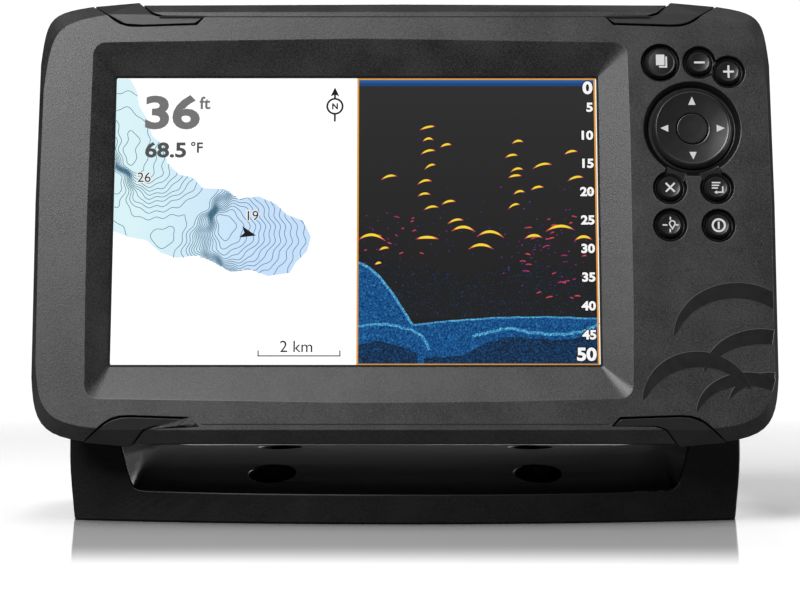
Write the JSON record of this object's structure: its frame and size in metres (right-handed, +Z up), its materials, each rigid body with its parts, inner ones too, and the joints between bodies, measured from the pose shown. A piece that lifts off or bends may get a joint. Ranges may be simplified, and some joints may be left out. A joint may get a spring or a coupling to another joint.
{
  "type": "fish finder",
  "caption": "Fish finder: wide colour screen in a chamfered case with round keys and a cursor pad at its right, leaning back on a U-shaped tilt bracket.",
  "frame": {"origin": "middle of the bracket's flat underside, where it rests on the console", "axes": "+X to the right as seen by the person facing the screen, -Y towards that person, +Z up"},
  "size_m": [0.2326, 0.0988, 0.1653],
  "materials": {
    "shell_plastic": "fine-grained charcoal moulding",
    "trim_plastic": "satin grey moulding",
    "bracket_plastic": "black moulding, satin inside and fine-grained outside",
    "key_plastic": "gloss black",
    "black_rubber": "matt black",
    "lens_glass": "clear, smooth",
    "screen_picture": "lit colour panel",
    "light_guide": "white diffuser",
    "sheet_steel": "bright sheet",
    "circuit_board": "green solder mask",
    "ribbon_film": "amber film",
    "antenna_ceramic": "matt"
  },
  "bodies": {
    "bracket_body": {"bracket": "bracket_plastic", "friction_washer_left": "black_rubber", "friction_washer_right": "black_rubber"},
    "display_unit": {"front_bezel": "shell_plastic", "rear_housing": "shell_plastic", "clip_top_left": "trim_plastic", "clip_top_right": "trim_plastic", "clip_bottom_left": "trim_plastic", "clip_bottom_right": "trim_plastic", "pivot_hub_left": "bracket_plastic", "pivot_hub_right": "bracket_plastic", "buzzer": "key_plastic", "power_socket": "key_plastic", "sonar_socket": "key_plastic", "key_mat": "black_rubber", "housing_gasket": "black_rubber", "vent_plug": "black_rubber", "display_lens": "lens_glass", "lcd_panel": "screen_picture", "backlight_panel": "light_guide", "lcd_frame": "sheet_steel", "card_reader": "sheet_steel", "housing_screw_1": "sheet_steel", "housing_screw_2": "sheet_steel", "housing_screw_3": "sheet_steel", "housing_screw_4": "sheet_steel", "housing_screw_5": "sheet_steel", "housing_screw_6": "sheet_steel", "main_board": "circuit_board", "keypad_board": "circuit_board", "lcd_ribbon": "ribbon_film", "gps_antenna": "antenna_ceramic"},
    "pages_key_body": {"pages_key": "key_plastic"},
    "zoom_out_key_body": {"zoom_out_key": "key_plastic"},
    "zoom_in_key_body": {"zoom_in_key": "key_plastic"},
    "exit_key_body": {"exit_key": "key_plastic"},
    "menu_key_body": {"menu_key": "key_plastic"},
    "waypoint_key_body": {"waypoint_key": "key_plastic"},
    "power_key_body": {"power_key": "key_plastic"},
    "enter_key_body": {"enter_key": "key_plastic"},
    "cursor_gimbal_body": {"cursor_gimbal": "trim_plastic"},
    "cursor_pad_body": {"cursor_pad": "key_plastic"},
    "card_door_body": {"card_door": "black_rubber"},
    "release_button_left_body": {"release_button_left": "key_plastic"},
    "release_button_right_body": {"release_button_right": "key_plastic"}
  },
  "joints": [
    {"name": "display_tilt", "type": "hinge", "parent": "bracket_body", "child": "display_unit", "pos_m": [0, -0.0116, 0.082], "axis": [-1, 0, 0], "range_deg": [-8, 35]},
    {"name": "pages_press", "type": "slide", "parent": "display_unit", "child": "pages_key_body", "axis": [0, 0.9863, -0.165], "range_m": [0, 0.0008], "stiffness_N_per_m": 500},
    {"name": "zoom_out_press", "type": "slide", "parent": "display_unit", "child": "zoom_out_key_body", "axis": [0, 0.9863, -0.165], "range_m": [0, 0.0008], "stiffness_N_per_m": 500},
    {"name": "zoom_in_press", "type": "slide", "parent": "display_unit", "child": "zoom_in_key_body", "axis": [0, 0.9863, -0.165], "range_m": [0, 0.0008], "stiffness_N_per_m": 500},
    {"name": "exit_press", "type": "slide", "parent": "display_unit", "child": "exit_key_body", "axis": [0, 0.9863, -0.165], "range_m": [0, 0.0008], "stiffness_N_per_m": 500},
    {"name": "menu_press", "type": "slide", "parent": "display_unit", "child": "menu_key_body", "axis": [0, 0.9863, -0.165], "range_m": [0, 0.0008], "stiffness_N_per_m": 500},
    {"name": "waypoint_press", "type": "slide", "parent": "display_unit", "child": "waypoint_key_body", "axis": [0, 0.9863, -0.165], "range_m": [0, 0.0008], "stiffness_N_per_m": 500},
    {"name": "power_press", "type": "slide", "parent": "display_unit", "child": "power_key_body", "axis": [0, 0.9863, -0.165], "range_m": [0, 0.0008], "stiffness_N_per_m": 500},
    {"name": "enter_press", "type": "slide", "parent": "display_unit", "child": "enter_key_body", "axis": [0, 0.9863, -0.165], "range_m": [0, 0.0008], "stiffness_N_per_m": 500},
    {"name": "cursor_up_down", "type": "hinge", "parent": "display_unit", "child": "cursor_gimbal_body", "pos_m": [0.0903, -0.04161, 0.12383], "axis": [1, 0, 0], "range_deg": [-2.5, 2.5], "stiffness_Nm_per_rad": 0.3},
    {"name": "cursor_left_right", "type": "hinge", "parent": "cursor_gimbal_body", "child": "cursor_pad_body", "pos_m": [0.0903, -0.04161, 0.12383], "axis": [0, 0.165, 0.9863], "range_deg": [-2.5, 2.5], "stiffness_Nm_per_rad": 0.3},
    {"name": "card_door_hinge", "type": "hinge", "parent": "display_unit", "child": "card_door_body", "pos_m": [0.044, 0.00328, 0.05822], "axis": [-1, 0, 0], "range_deg": [0, 110]},
    {"name": "release_left", "type": "slide", "parent": "bracket_body", "child": "release_button_left_body", "axis": [1, 0, 0], "range_m": [0, 0.002], "stiffness_N_per_m": 500},
    {"name": "release_right", "type": "slide", "parent": "bracket_body", "child": "release_button_right_body", "axis": [-1, 0, 0], "range_m": [0, 0.002], "stiffness_N_per_m": 500}
  ]
}
